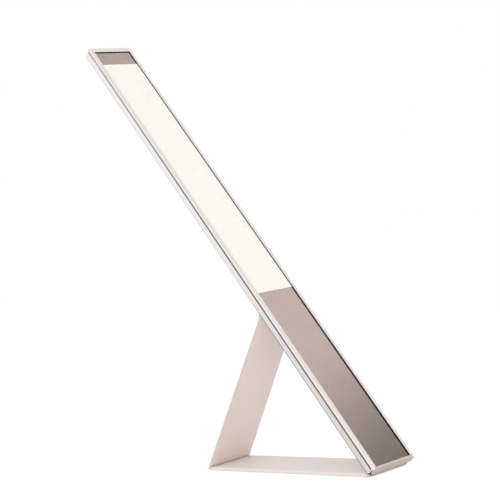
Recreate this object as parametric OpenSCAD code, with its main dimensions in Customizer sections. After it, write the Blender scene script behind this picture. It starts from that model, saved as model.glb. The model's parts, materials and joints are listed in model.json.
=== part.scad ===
// Slim panel lamp on a folding stand.
// The panel leans on a hinged leaf, and both close over a narrow base plate.
// World frame: +X runs from the stand's fold to the panel's foot, +Z is up, the table is z = 0.

/* [Panel] */
// Length of the light panel from foot to top
panel_len = 400; // [370:1:430]
// Width of the panel, of the base and of the leaf at its foot
panel_w = 40; // [39:0.5:44]
// Thickness of the panel
panel_t = 7.7; // [7.5:0.1:8.6]
// Lean of the open panel above the table, in degrees
tilt = 54; // [46:1:60]
// Plan radius of the panel's two top corners
corner_r = 1.6; // [1.3:0.1:2.4]
// Wall of the back shell
shell_wall = 1; // [0.8:0.1:1.1]
// Floor of the back shell
shell_floor = 0.9; // [0.7:0.1:1]

/* [Front] */
// Height of the seam between shell and frame
seam_h = 0.9; // [0.6:0.1:1.1]
// Depth of the seam, down to its gasket
seam_d = 0.5; // [0.3:0.1:0.6]
// Height of the front frame's side
frame_h = 2.2; // [2:0.1:2.4]
// Width of the frame's face along the long sides
frame_side = 3; // [2.6:0.1:3.6]
// Width of the frame's face at the top
frame_top = 4.6; // [3:0.1:6]
// Width of the frame's face at the foot
frame_foot = 1.4; // [1.4:0.1:4]
// Depth of the glass below the frame's face
recess = 0.4; // [0.3:0.05:0.6]
// Thickness of the cover glass
glass_t = 1; // [0.8:0.1:1.1]
// Thickness of the printed mirror film
film_t = 0.1; // [0.08:0.01:0.15]

/* [Light] */
// Distance from the leaf's hinge axis to the lit window
window_start = 13.2; // [10:0.1:24]
// Distance from the window's far end to the panel's top
window_top = 18; // [14:1:60]
// How far the light guide runs on past the window
guide_margin = 1.3; // [1:0.1:2]
// Thickness of the diffuser
diffuser_t = 0.7; // [0.5:0.1:0.8]
// Thickness of the reflector
reflector_t = 0.2; // [0.15:0.01:0.3]
// Thickness of the heat spreader
spreader_t = 0.6; // [0.4:0.1:0.7]
// Thickness of the heat spreader's upturned ends
fin_t = 0.6; // [0.4:0.1:0.8]
// Thickness of each light bar's board
bar_t = 0.6; // [0.5:0.1:0.8]
// Gap between the diodes and the light guide
bar_gap = 0.2; // [0.1:0.05:0.3]
// Number of diodes on each light bar
led_count = 8; // [5:1:9]
// Width of one diode
led_w = 3; // [2:0.1:3.4]
// Height of one diode
led_h = 2; // [1.4:0.1:2.2]
// Depth of one diode
led_d = 0.7; // [0.5:0.1:0.8]
// Thickness of the ribbon to the upper light bar
flex_t = 0.15; // [0.1:0.01:0.2]
// Height of the ribbon, which stands on edge
flex_h = 2; // [1.6:0.1:2.4]
// Length of the ribbon's tail on the driver board
tail_len = 2; // [1.5:0.1:2.5]
// Width of the ribbon's tail
tail_w = 3; // [2:0.1:3.5]
// Distance from the start of the tail to the driver board's end
tail_in = 4; // [3.6:0.1:5]

/* [Chassis] */
// Thickness of the chassis wall
chassis_wall = 1.4; // [1.2:0.1:1.6]
// Thickness of the chassis deck
deck_t = 0.5; // [0.4:0.1:0.6]
// Thickness of the touch foil on the deck
foil_t = 0.15; // [0.1:0.01:0.2]
// Length of the touch foil
foil_len = 70; // [40:1:100]
// Distance of the touch foil from the chassis wall
foil_margin = 3; // [1:0.5:6]
// Diameter of a screw boss
boss_d = 2.8; // [2.5:0.1:3]
// Diameter of a screw's shank
screw_d = 1.5; // [1.2:0.1:1.6]
// Diameter of a screw's head
head_d = 2.6; // [2.2:0.1:2.8]
// Height of a screw's countersunk head
head_h = 0.55; // [0.4:0.05:0.6]
// Distance of the case screws from the panel's middle line
screw_side = 14; // [13:0.5:14.5]

/* [Layout] */
// Start of the driver board, from the panel's foot
board_start = 6; // [5.6:0.1:7]
// Distance from the board's start to the middle of the charging socket
socket_along = 8; // [7.5:0.1:8.5]
// Distance from the board's start to the middle of the power button
button_along = 21; // [19:0.1:21]
// Gap between the driver board and the screw bosses behind it
boss_room = 1.5; // [1:0.1:2]
// Gap between those bosses and the battery
battery_room = 1.7; // [1:0.1:3]
// Gap between the battery and the bosses of the leaf's bracket
bracket_room = 2.5; // [1:0.1:5]
// Distance from the third row of case screws to the heat spreader
spreader_room = 5.5; // [4:0.5:7]
// Gap between the top row of bosses and the chassis wall
top_room = 3.5; // [1:0.5:4.5]

/* [Electronics] */
// Length of the driver board
board_len = 28; // [26:1:29]
// Width of the driver board
board_w = 29.3; // [28:0.1:30]
// Thickness of the driver board
board_t = 0.8; // [0.6:0.1:1]
// Height of the driver board above the floor
board_rise = 0.25; // [0.2:0.05:0.3]
// Width of the battery
battery_w = 30; // [24:1:31]
// Thickness of the battery
battery_t = 4; // [3:0.1:4.1]
// Length of the sealed flap at the battery's end
flap_len = 2; // [1.5:0.1:3]
// Thickness of the sealed flap
flap_t = 0.6; // [0.4:0.1:0.8]
// Distance of the foam pad from the battery's edges
foam_margin = 4; // [2:0.5:6]
// Diameter of a battery lead
lead_d = 0.8; // [0.6:0.1:1]
// Distance between the two battery leads
lead_pitch = 3; // [2:0.1:3.4]
// Distance from the driver board's long edge to the middle of the two leads
lead_across = 15; // [12:0.5:16]
// Length of a battery lead that lies on the driver board
lead_in = 3; // [2:0.1:4]
// Width of the charging socket
socket_w = 8.94; // [8.8:0.02:9.2]
// Height of the charging socket
socket_h = 3.16; // [3:0.02:3.2]
// Depth of the charging socket
socket_d = 7.3; // [6:0.1:8]
// Side wall of the charging socket
socket_wall = 0.3; // [0.2:0.05:0.4]
// Back wall of the charging socket
socket_back = 1; // [0.6:0.1:1.2]
// Width of the socket's tongue
tongue_w = 6.7; // [6.4:0.05:6.8]
// Thickness of the socket's tongue
tongue_t = 0.7; // [0.6:0.05:0.8]
// Depth of the tongue's tip behind the socket's mouth
tongue_in = 0.7; // [0.5:0.1:1]
// Width of the tact switch
switch_w = 4; // [3.4:0.1:4.4]
// Depth of the tact switch
switch_d = 2.6; // [2:0.1:3]
// Height of the tact switch
switch_h = 1.9; // [1.7:0.1:2.2]
// Distance of the tact switch from the board's edge
switch_in = 0.6; // [0.5:0.1:1]
// Diameter of the switch's plunger
plunger_d = 1.2; // [1:0.1:1.3]
// Depth of the plunger in its switch
plunger_in = 0.6; // [0.4:0.1:0.8]
// Length of the power button's face
button_len = 8; // [6:0.5:9]
// Height of the power button's face
button_h = 2.2; // [1.8:0.1:2.4]
// Travel of the power button
button_travel = 0.4; // [0.3:0.05:0.5]
// How far the button's flange stands out at each end
flange_end = 0.8; // [0.5:0.1:1]
// How far the button's flange stands out above and below
flange_edge = 0.45; // [0.3:0.05:0.5]
// Thickness of the button's flange
flange_t = 0.5; // [0.4:0.1:0.6]

/* [Stand] */
// Length of the leaf, from its hinge axis to the axis of its foot
leaf_len = 135.25; // [112:0.25:170]
// Width of the leaf at its hinge
leaf_top_w = 36; // [34:0.5:39]
// Thickness of the base plate
base_t = 2.4; // [2.2:0.1:2.6]
// Thickness of the leaf
leaf_t = 2.4; // [2.2:0.1:2.6]
// Thickness of the pad under the base
pad_t = 0.4; // [0.4:0.05:0.6]
// Distance of the pad from the base plate's edges
pad_in = 4; // [2:0.5:8]
// Radius of the hinge barrels
barrel_r = 1.5; // [1.4:0.05:1.55]
// Radius of the hinge pins
pin_r = 0.75; // [0.6:0.05:0.85]
// Width of the base plate's middle knuckle
base_knuckle_w = 14; // [10:1:16]
// Thickness of the hinge plate on the panel's foot
foot_plate_t = 0.8; // [0.6:0.05:0.85]
// Width of the hinge plate below its cap
foot_plate_w = 33; // [32:0.5:35]
// Distance of the cap's upper edge from the panel's front face
cap_drop = 0.9; // [0.9:0.1:2]
// Height of the cap's lower edge above the panel's back
cap_low = 2.2; // [1.8:0.1:2.6]
// Depth of the relief in the shell's foot corners, below the cap
corner_relief = 1.2; // [1.1:0.05:1.4]
// Distance of the panel's hinge axis from its foot, along the panel
axis_in = 1.55; // [1.45:0.05:1.6]
// Thickness of the lip that carries the hinge plate's barrels
lip_t = 1; // [0.8:0.1:1.1]
// Diameter of the studs that hold the hinge plate
stud_d = 1.6; // [1.4:0.1:2]
// Distance of the studs from the middle line
stud_side = 9; // [8:0.5:10]
// Width of the leaf bracket's knuckle
bracket_knuckle_w = 12; // [8:1:13]
// Length of the leaf bracket's plate
bracket_len = 6.2; // [5:0.2:7]
// Thickness of the leaf bracket's plate
bracket_t = 0.8; // [0.7:0.05:1]
// Thickness of the arm from the bracket's plate to its knuckle
arm_t = 1.7; // [1.4:0.1:1.9]
// Length of the arm under the bracket's plate
arm_root = 1; // [0.8:0.1:1.2]
// Distance of the bracket's screws from the middle line
bracket_screw_side = 8; // [7.8:0.1:9]
// Distance from a bracket screw to the plate's end
bracket_ear = 4; // [2:0.5:4.5]
// Diameter of the latch magnets
magnet_d = 1.5; // [1.2:0.1:1.6]
// Length of the latch magnets
magnet_len = 8; // [5:0.5:12]
// Distance of the inner magnets from the middle line
magnet_side = 6; // [4:0.5:8]
// Distance between neighbouring magnets on one side
magnet_pitch = 8; // [4:0.5:10]

/* [Clearances] */
// Gap between stacked sheets
lay_gap = 0.05; // [0.03:0.01:0.08]
// Gap round a piece that drops into another
seat_gap = 0.1; // [0.08:0.01:0.15]
// Gap round the cover glass
glass_gap = 0.15; // [0.1:0.01:0.2]
// Gap between the driver board and the chassis wall
board_gap = 0.2; // [0.15:0.05:0.4]
// Gap between the light guide and the ribbon beside it
flex_gap = 0.25; // [0.2:0.05:0.4]
// Depth of the button's and the socket's faces below the panel's side
face_in = 0.05; // [0.03:0.01:0.1]
// Gap between a screw's tip and the deck
tip_gap = 0.4; // [0.2:0.05:0.6]
// Radial gap of a fixed pin or screw
tight_gap = 0.02; // [0.01:0.01:0.03]
// Radial gap of a turning hinge
turn_gap = 0.05; // [0.03:0.01:0.08]
// Gap between barrels, and from a barrel to a flat face
hinge_gap = 0.3; // [0.25:0.05:0.4]
// Gap between neighbouring knuckles on one pin
knuckle_gap = 0.2; // [0.1:0.05:0.3]
// Gap from a pin's end to the side beside it
pin_end_gap = 0.3; // [0.2:0.05:0.5]
// Gap between the hinge plate's lip and the panel's back
lip_gap = 0.2; // [0.1:0.05:0.25]
// Room in the leaf behind the bracket's knuckle
relief_room = 0.6; // [0.5:0.1:1]
// Gap between the leaf's foot and the base plate
latch_gap = 0.3; // [0.25:0.05:0.4]
// Depth of the leaf's magnets below the end of its foot
magnet_recess = 0.4; // [0.4:0.05:0.8]
// Gap between a magnet and the bottom of its hole
magnet_gap = 0.1; // [0.05:0.05:0.2]
// Least height of the hinge plate above the table
table_gap = 0.05; // [0.03:0.01:0.1]

/* [Hidden] */
$fn = 48;
eps = 0.01;
least_r = 0.25;

// Heights in the panel, from its back face
shell_h = panel_t - frame_h - seam_h;
glass_top = panel_t - recess;
glass_low = glass_top - glass_t;
film_low = glass_low - film_t;
deck_top = film_low - foil_t;
deck_low = deck_top - deck_t;
floor_top = shell_floor + lay_gap;
stud_mid = (floor_top + deck_low) / 2;
spreader_top = floor_top + spreader_t;
reflector_low = spreader_top + lay_gap;
guide_low = reflector_low + reflector_t + lay_gap;
diffuser_low = film_low - lay_gap - diffuser_t;
guide_top = diffuser_low - lay_gap;
board_low = floor_top + board_rise;
board_top = board_low + board_t;
socket_mid = floor_top + seat_gap + socket_h / 2;
switch_mid = board_top + tight_gap + switch_h / 2;
battery_low = floor_top + lay_gap;
battery_top = battery_low + battery_t;

// Insets from the panel's outline
side_y = panel_w / 2;
glass_in = shell_wall + glass_gap;
chassis_in = shell_wall + seat_gap;
gasket_inner = chassis_in - lay_gap;
cavity_in = chassis_in + chassis_wall;

// Half widths, from the panel's middle line
cavity_half = side_y - cavity_in;
flex_y = cavity_half - lay_gap - flex_t;
guide_half = flex_y - flex_gap;
board_far_y = cavity_half - board_gap;
board_edge_y = board_w - board_far_y;

// Stand, in the panel's frame
axis_out = barrel_r + hinge_gap;
leaf_axis_s = axis_in + leaf_len;
lip_low = -lip_gap - lip_t;
stud_reach = chassis_in + chassis_wall / 2;
bracket_half = bracket_knuckle_w / 2;
bracket_end = leaf_axis_s - axis_out;
bracket_screw_s = bracket_end - bracket_len / 2;

// Places along the panel, from its foot
window_low = leaf_axis_s + window_start;
window_end = panel_len - window_top;
guide_start = window_low - guide_margin;
guide_end = window_end + guide_margin;
led_foot = guide_start - bar_gap;
led_top = guide_end + bar_gap;
bar_foot = led_foot - led_d - bar_t;
bar_top = led_top + led_d;
spreader_start = bar_foot - lay_gap - fin_t;
spreader_end = bar_top + bar_t + lay_gap + fin_t;
board_end = board_start + board_len;
boss_row_2 = board_end + boss_room + boss_d / 2;
battery_start = boss_row_2 + boss_d / 2 + battery_room;
battery_end = bracket_screw_s - boss_d / 2 - bracket_room;
case_rows = [cavity_in + seat_gap + boss_d / 2, boss_row_2, spreader_start - spreader_room,
             panel_len - cavity_in - top_room - boss_d / 2];
case_spots = [for (s = case_rows, y = [-screw_side, screw_side]) [s, y]];
bracket_spots = [for (y = [-bracket_screw_side, bracket_screw_side]) [bracket_screw_s, y]];

// Socket and button: distance from the panel's foot and height
socket_place = [board_start + socket_along, socket_mid];
button_place = [board_start + button_along, switch_mid];

// Button and switch, across the panel
face_y = -side_y + face_in;
button_in = -board_far_y - button_travel - lay_gap;
switch_y = -board_far_y + switch_in;
flange_len = button_len + 2 * flange_end;
flange_h = button_h + 2 * flange_edge;

// Parts on the driver board: place from its start and from its long edge, length, width, height
board_spots = [[4, 9, 5, 5, 1], [11, 8, 4, 4, 1.8], [4, 16, 3, 2, 0.8], [17, 9, 3, 3, 0.9],
               [17, 15, 2, 1.2, 0.6], [21, 7, 2, 1.2, 0.6], [21, 12, 3.4, 2.6, 1.2],
               [11, 13, 2, 1.2, 0.6]];
lead_y = board_edge_y - lead_across;

// Stand, in the world
axis_z = pad_t + base_t / 2;
foot_z = axis_z + axis_out * cos(tilt) - axis_in * sin(tilt);
foot_x = (panel_len * cos(tilt) - panel_t * sin(tilt)) / 2;
axis_x = foot_x - axis_in * cos(tilt) - axis_out * sin(tilt);
leaf_axis_x = axis_x - leaf_len * cos(tilt);
leaf_axis_z = axis_z + leaf_len * sin(tilt);
leaf_foot_x = axis_x - 2 * leaf_len * cos(tilt);
base_right = axis_x - axis_out;
base_top_z = pad_t + base_t;
base_mid_half = base_knuckle_w / 2;
base_end_y = foot_plate_w / 2 + knuckle_gap;

// The base's end is bevelled along the leaf, and its magnets lie behind the bevel
end_mid_x = leaf_foot_x + (leaf_t / 2 + latch_gap) / sin(tilt);
bevel_half = base_t / 2 / tan(tilt);
base_left = end_mid_x - bevel_half;
base_magnet_x = end_mid_x + magnet_d / 2 / tan(tilt) + seat_gap;
magnet_rows = [for (side = [-1, 1], i = [0, 1]) side * (magnet_side + i * magnet_pitch)];

// Frames

module on_panel() {
    translate([foot_x, 0, foot_z])
        rotate([0, tilt, 0])
            rotate([0, 0, 180])
                children();
}

module on_leaf() {
    translate([leaf_axis_x, 0, leaf_axis_z])
        rotate([0, -tilt, 0])
            rotate([0, 0, 180])
                children();
}

// Shapes

// The panel's outline is square at its foot, under the cap, and round at its top
module plate_2d(inset) {
    r = max(corner_r - inset, least_r);
    far_x = panel_len - inset;
    far_y = side_y - inset;
    translate([inset, -far_y]) square([far_x - inset - r, 2 * far_y]);
    translate([inset, -far_y + r]) square([far_x - inset, 2 * far_y - 2 * r]);
    for (y = [-far_y + r, far_y - r]) translate([far_x - r, y]) circle(r);
}

module slab(inset, low, top) {
    translate([0, 0, low]) linear_extrude(top - low) plate_2d(inset);
}

module sheet(start, end, half, low, top) {
    translate([start, -half, low]) cube([end - start, 2 * half, top - low]);
}

// A round bar along Y, from y0 to y1
module barrel(y0, y1, r) {
    translate([0, y1, 0]) rotate([90, 0, 0]) cylinder(r = r, h = y1 - y0);
}

module across(half, r) {
    barrel(-half, half, r);
}

// A round bar along X
module rod(r, len) {
    rotate([0, 90, 0]) cylinder(r = r, h = len);
}

module countersunk(low, reach) {
    translate([0, 0, low]) cylinder(d1 = head_d, d2 = screw_d, h = head_h);
    translate([0, 0, low]) cylinder(d = screw_d, h = reach);
}

module countersink(low) {
    translate([0, 0, low - eps])
        cylinder(d1 = head_d + 2 * tight_gap, d2 = screw_d + 2 * tight_gap, h = head_h + eps);
}

module screw_hole(low, h) {
    translate([0, 0, low]) cylinder(r = screw_d / 2 + tight_gap, h = h);
}

module stadium(len, h) {
    square([len - h, h], center = true);
    for (x = [-1, 1]) translate([x * (len - h) / 2, 0]) circle(h / 2);
}

// A bar with round ends in section, along Y from y0 to y1
module side_bar(place, len, h, y0, y1) {
    translate([place[0], y1, place[1]]) rotate([90, 0, 0]) linear_extrude(y1 - y0) stadium(len, h);
}

module side_hole(place, len, h, y0, y1) {
    side_bar(place, len + 2 * seat_gap, h + 2 * seat_gap, y0, y1);
}

// Panel

module back_shell() {
    color("lightgray") on_panel() difference() {
        slab(0, 0, shell_h);
        slab(shell_wall, shell_floor, shell_h + eps);
        for (p = concat(case_spots, bracket_spots))
            translate([p[0], p[1], 0]) screw_hole(-eps, shell_floor + 2 * eps);
        for (p = case_spots) translate([p[0], p[1], 0]) countersink(0);
        side_hole(socket_place, socket_w, socket_h, -side_y - eps, -side_y + shell_wall + eps);
        side_hole(button_place, button_len, button_h, -side_y - eps, -side_y + shell_wall + eps);
        for (y = [-stud_side, stud_side])
            translate([-eps, y, stud_mid]) rod(stud_d / 2 + tight_gap, shell_wall + 2 * eps);
        for (y = [-side_y - eps, foot_plate_w / 2])
            translate([-eps, y, -eps])
                cube([corner_relief + eps, side_y - foot_plate_w / 2 + eps, cap_low + eps]);
    }
}

module front_frame() {
    color("gainsboro") on_panel() difference() {
        slab(0, panel_t - frame_h, panel_t);
        sheet(frame_foot, panel_len - frame_top, side_y - frame_side, 0, panel_t + eps);
        slab(shell_wall, panel_t - frame_h - eps, glass_top);
    }
}

module frame_gasket() {
    color("dimgray") on_panel() difference() {
        slab(seam_d, shell_h, shell_h + seam_h);
        slab(gasket_inner, shell_h - eps, shell_h + seam_h + eps);
    }
}

module cover_glass() {
    color("rosybrown") on_panel() slab(glass_in, glass_low, glass_top - tight_gap);
}

module mirror_film() {
    color("tan") on_panel() difference() {
        slab(glass_in + lay_gap, film_low, glass_low);
        sheet(window_low, window_end, side_y - frame_side, film_low - eps, glass_low + eps);
    }
}

module touch_foil() {
    color("darkorange") on_panel()
        sheet(battery_start, battery_start + foil_len, cavity_half - foil_margin, deck_top, film_low);
}

module diffuser_sheet() {
    color("ivory") on_panel()
        sheet(guide_start, guide_end, cavity_half - lay_gap, diffuser_low, film_low - lay_gap);
}

module light_guide() {
    color("aliceblue") on_panel() sheet(guide_start, guide_end, guide_half, guide_low, guide_top);
}

module reflector_sheet() {
    color("white") on_panel()
        sheet(guide_start, guide_end, guide_half, reflector_low, reflector_low + reflector_t);
}

module heat_spreader() {
    color("silver") on_panel() {
        sheet(spreader_start, spreader_end, cavity_half - lay_gap, floor_top, spreader_top);
        for (s = [spreader_start, spreader_end - fin_t])
            sheet(s, s + fin_t, guide_half, floor_top, deck_low - lay_gap);
    }
}

module led_boards() {
    color("darkgreen") on_panel()
        for (s = [bar_foot, bar_top])
            sheet(s, s + bar_t, guide_half, spreader_top + lay_gap, deck_low - lay_gap);
}

module leds() {
    pitch = 2 * guide_half / led_count;
    low = (guide_low + guide_top - led_h) / 2;
    color("khaki") on_panel()
        for (s = [led_foot - led_d, led_top], i = [0 : led_count - 1])
            translate([s, (i + 0.5) * pitch - guide_half - led_w / 2, low]) cube([led_d, led_w, led_h]);
}

module light_flex() {
    tail_s = board_end - tail_in;
    tail_y = board_edge_y - tail_len;
    color("peru") on_panel() {
        translate([tail_s, flex_y, spreader_top + lay_gap])
            cube([bar_top + bar_t - tail_s, flex_t, flex_h]);
        translate([tail_s, tail_y, board_top + lay_gap]) cube([tail_w, flex_y + flex_t - tail_y, flex_t]);
    }
}

module chassis() {
    color("slategray") on_panel() difference() {
        union() {
            difference() {
                slab(chassis_in, floor_top, film_low);
                slab(cavity_in, floor_top - eps, film_low + eps);
            }
            sheet(cavity_in - eps, spreader_start - seat_gap, cavity_half + eps, deck_low, deck_top);
            sheet(spreader_end + seat_gap, panel_len - cavity_in + eps, cavity_half + eps,
                  deck_low, deck_top);
            for (p = concat(case_spots, bracket_spots))
                translate([p[0], p[1], floor_top]) cylinder(d = boss_d, h = deck_low - floor_top + eps);
        }
        for (p = concat(case_spots, bracket_spots))
            translate([p[0], p[1], 0]) screw_hole(floor_top - eps, deck_low - floor_top - lay_gap);
        side_hole(socket_place, socket_w, socket_h, -side_y, -cavity_half + eps);
        side_hole(button_place, flange_len, flange_h, -side_y, -cavity_half + eps);
        for (y = [-stud_side, stud_side])
            translate([0, y, stud_mid]) rod(stud_d / 2 + tight_gap, stud_reach + seat_gap);
    }
}

// Electronics

module battery_cell() {
    color("lightsteelblue") on_panel() {
        sheet(battery_start + flap_len, battery_end, battery_w / 2, battery_low, battery_top);
        sheet(battery_start, battery_start + flap_len + eps, battery_w / 2, battery_low,
              battery_low + flap_t);
    }
}

module battery_foam() {
    color("darkslategray") on_panel()
        sheet(battery_start + flap_len + foam_margin, battery_end - foam_margin,
              battery_w / 2 - foam_margin, battery_top + lay_gap, deck_low - lay_gap);
}

module battery_leads() {
    start = board_end - lead_in;
    end = battery_start + flap_len - lay_gap;
    color("firebrick") on_panel()
        for (y = [lead_y - lead_pitch / 2, lead_y + lead_pitch / 2])
            translate([start, y, board_top + lay_gap + lead_d / 2]) rod(lead_d / 2, end - start);
}

module driver_board() {
    notch_end = face_y + socket_d + seat_gap;
    color("seagreen") on_panel() difference() {
        translate([board_start, -board_far_y, board_low]) cube([board_len, board_w, board_t]);
        translate([socket_place[0] - socket_w / 2 - seat_gap, -board_far_y - eps, board_low - eps])
            cube([socket_w + 2 * seat_gap, notch_end + board_far_y + eps, board_t + 2 * eps]);
    }
}

module board_parts() {
    color("black") on_panel()
        for (p = board_spots)
            translate([board_start + p[0], board_edge_y - p[1], board_top + tight_gap])
                cube([p[2], p[3], p[4]]);
}

module usb_socket() {
    color("gray") on_panel() difference() {
        side_bar(socket_place, socket_w, socket_h, face_y, face_y + socket_d);
        side_bar(socket_place, socket_w - 2 * socket_wall, socket_h - 2 * socket_wall,
                 face_y - eps, face_y + socket_d - socket_back);
    }
}

module usb_tongue() {
    len = socket_d - socket_back - tongue_in - tight_gap;
    color("black") on_panel()
        translate([socket_place[0] - tongue_w / 2, face_y + tongue_in, socket_mid - tongue_t / 2])
            cube([tongue_w, len, tongue_t]);
}

module tact_switch() {
    color("darkgray") on_panel() difference() {
        translate([button_place[0] - switch_w / 2, switch_y, board_top + tight_gap])
            cube([switch_w, switch_d, switch_h]);
        translate([button_place[0], 0, switch_mid])
            barrel(switch_y - eps, switch_y + plunger_in + button_travel + seat_gap,
                   plunger_d / 2 + turn_gap);
    }
}

module switch_plunger() {
    color("white") on_panel()
        translate([button_place[0], 0, switch_mid]) barrel(button_in, switch_y + plunger_in, plunger_d / 2);
}

module power_button() {
    flange_y = -side_y + shell_wall + lay_gap;
    color("silver") on_panel() {
        side_bar(button_place, button_len, button_h, face_y, button_in);
        side_bar(button_place, flange_len, flange_h, flange_y, flange_y + flange_t);
    }
}

module case_screws() {
    color("darkslategray") on_panel()
        for (p = case_spots) translate([p[0], p[1], 0]) countersunk(0, deck_low - tip_gap);
}

// Hinges

module foot_hinge_plate() {
    plate_half = foot_plate_w / 2;
    inner_y = base_mid_half + knuckle_gap;
    color("mistyrose") difference() {
        on_panel() difference() {
            union() {
                translate([-foot_plate_t, -plate_half, lip_low])
                    cube([foot_plate_t - tight_gap, foot_plate_w, cap_low + eps - lip_low]);
                translate([-foot_plate_t, -side_y, cap_low])
                    cube([foot_plate_t - tight_gap, panel_w, panel_t - cap_drop - cap_low]);
                for (y = [[-plate_half, -inner_y], [inner_y, plate_half]]) {
                    translate([-foot_plate_t, y[0], lip_low])
                        cube([foot_plate_t + axis_in, y[1] - y[0], lip_t]);
                    translate([axis_in, 0, -axis_out]) barrel(y[0], y[1], barrel_r);
                }
                for (y = [-stud_side, stud_side])
                    translate([-foot_plate_t / 2, y, stud_mid])
                        rod(stud_d / 2, stud_reach + foot_plate_t / 2);
            }
            translate([axis_in, 0, -axis_out]) across(side_y, pin_r + turn_gap);
        }
        translate([axis_x, -side_y, table_gap - panel_t]) cube([panel_t, panel_w, panel_t]);
    }
}

module foot_hinge_pin() {
    color("dimgray") translate([axis_x, 0, axis_z]) across(side_y - pin_end_gap, pin_r);
}

module leaf_bracket() {
    plate_half = bracket_screw_side + bracket_ear;
    color("silver") on_panel() difference() {
        union() {
            translate([bracket_end - bracket_len, -plate_half, -bracket_t])
                cube([bracket_len, 2 * plate_half, bracket_t - tight_gap]);
            translate([bracket_end - arm_root, -bracket_half, -hinge_gap - arm_t])
                cube([axis_out + arm_root, bracket_knuckle_w, arm_t]);
            translate([leaf_axis_s, 0, -axis_out]) across(bracket_half, barrel_r);
        }
        translate([leaf_axis_s, 0, -axis_out]) across(side_y, pin_r + tight_gap);
        for (p = bracket_spots) translate([p[0], p[1], 0]) {
            countersink(-bracket_t);
            screw_hole(-bracket_t - eps, bracket_t + 2 * eps);
        }
    }
}

module bracket_screws() {
    color("darkslategray") on_panel()
        for (p = bracket_spots)
            translate([p[0], p[1], 0]) countersunk(-bracket_t, bracket_t + deck_low - tip_gap);
}

module leaf_hinge_pin() {
    color("dimgray") on_panel()
        translate([leaf_axis_s, 0, -axis_out]) across(leaf_top_w / 2 - pin_end_gap, pin_r);
}

// Stand

module support_leaf() {
    foot_end = leaf_len + leaf_t / 2;
    hole_len = magnet_recess + magnet_len + magnet_gap;
    slot_half = bracket_half + knuckle_gap;
    top_half = leaf_top_w / 2;
    edge = [[0, top_half], [barrel_r, top_half], [leaf_len - leaf_t / 2, side_y], [leaf_len, side_y]];
    color("bisque") on_leaf() difference() {
        union() {
            translate([0, 0, -leaf_t / 2]) linear_extrude(leaf_t)
                polygon(concat(edge, [for (i = [3 : -1 : 0]) [edge[i][0], -edge[i][1]]]));
            translate([leaf_len, 0, 0]) across(side_y, leaf_t / 2);
            across(top_half, barrel_r);
        }
        translate([-barrel_r - eps, -slot_half, -barrel_r - eps])
            cube([barrel_r + axis_out + relief_room + eps, 2 * slot_half, 2 * (barrel_r + eps)]);
        across(side_y + eps, pin_r + turn_gap);
        for (y = magnet_rows)
            translate([foot_end - hole_len, y, 0]) rod(magnet_d / 2 + tight_gap, hole_len + eps);
    }
}

module leaf_magnets() {
    color("gray") on_leaf()
        for (y = magnet_rows)
            translate([leaf_len + leaf_t / 2 - magnet_recess - magnet_len, y, 0])
                rod(magnet_d / 2, magnet_len);
}

module base_plate() {
    color("linen") difference() {
        union() {
            translate([0, side_y, 0]) rotate([90, 0, 0]) linear_extrude(panel_w)
                polygon([[base_left, pad_t], [base_right, pad_t], [base_right, base_top_z],
                         [end_mid_x + bevel_half, base_top_z]]);
            for (y = [[-side_y, -base_end_y], [-base_mid_half, base_mid_half], [base_end_y, side_y]]) {
                translate([base_right - eps, y[0], pad_t])
                    cube([axis_x - base_right + eps, y[1] - y[0], base_t]);
                translate([axis_x, 0, axis_z]) barrel(y[0], y[1], barrel_r);
            }
        }
        translate([axis_x, 0, axis_z]) across(side_y + eps, pin_r + tight_gap);
        for (y = magnet_rows)
            translate([base_left - eps, y, axis_z])
                rod(magnet_d / 2 + tight_gap, base_magnet_x - base_left + magnet_len + magnet_gap + eps);
    }
}

module base_magnets() {
    color("gray")
        for (y = magnet_rows)
            translate([base_magnet_x, y, axis_z]) rod(magnet_d / 2, magnet_len);
}

module base_pad() {
    color("dimgray") sheet(base_left + pad_in, base_right - pad_in, side_y - pad_in, 0, pad_t);
}

back_shell();
front_frame();
frame_gasket();
cover_glass();
mirror_film();
touch_foil();
diffuser_sheet();
light_guide();
reflector_sheet();
heat_spreader();
led_boards();
leds();
light_flex();
chassis();
battery_cell();
battery_foam();
battery_leads();
driver_board();
board_parts();
usb_socket();
usb_tongue();
tact_switch();
switch_plunger();
power_button();
case_screws();
foot_hinge_plate();
foot_hinge_pin();
leaf_bracket();
bracket_screws();
leaf_hinge_pin();
support_leaf();
leaf_magnets();
base_plate();
base_magnets();
base_pad();
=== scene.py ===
"""A slim panel lamp on a folding stand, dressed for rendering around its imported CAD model."""
import json
import math

import bmesh
import bpy
from mathutils import Matrix, Vector


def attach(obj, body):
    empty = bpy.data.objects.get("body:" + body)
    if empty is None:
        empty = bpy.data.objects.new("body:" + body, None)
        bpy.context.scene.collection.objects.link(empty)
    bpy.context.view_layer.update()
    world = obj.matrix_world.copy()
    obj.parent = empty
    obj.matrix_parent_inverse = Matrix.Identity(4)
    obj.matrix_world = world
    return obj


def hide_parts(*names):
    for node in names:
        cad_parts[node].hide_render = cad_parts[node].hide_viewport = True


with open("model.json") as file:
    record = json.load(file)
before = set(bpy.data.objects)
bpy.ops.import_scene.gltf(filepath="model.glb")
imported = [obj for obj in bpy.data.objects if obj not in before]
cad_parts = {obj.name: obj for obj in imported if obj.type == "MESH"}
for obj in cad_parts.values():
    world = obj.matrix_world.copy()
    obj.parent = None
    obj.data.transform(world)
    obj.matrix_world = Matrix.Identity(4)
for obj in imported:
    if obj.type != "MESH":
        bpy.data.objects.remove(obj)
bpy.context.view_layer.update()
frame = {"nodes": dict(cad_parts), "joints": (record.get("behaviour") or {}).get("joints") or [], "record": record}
scene = bpy.context.scene
record = frame["record"]
slot_of = {part["node"]: part["material_slot"] for part in record["subparts"]}
body_of = {node: body for body, nodes in record["behaviour"]["bodies"].items() for node in nodes}

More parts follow.
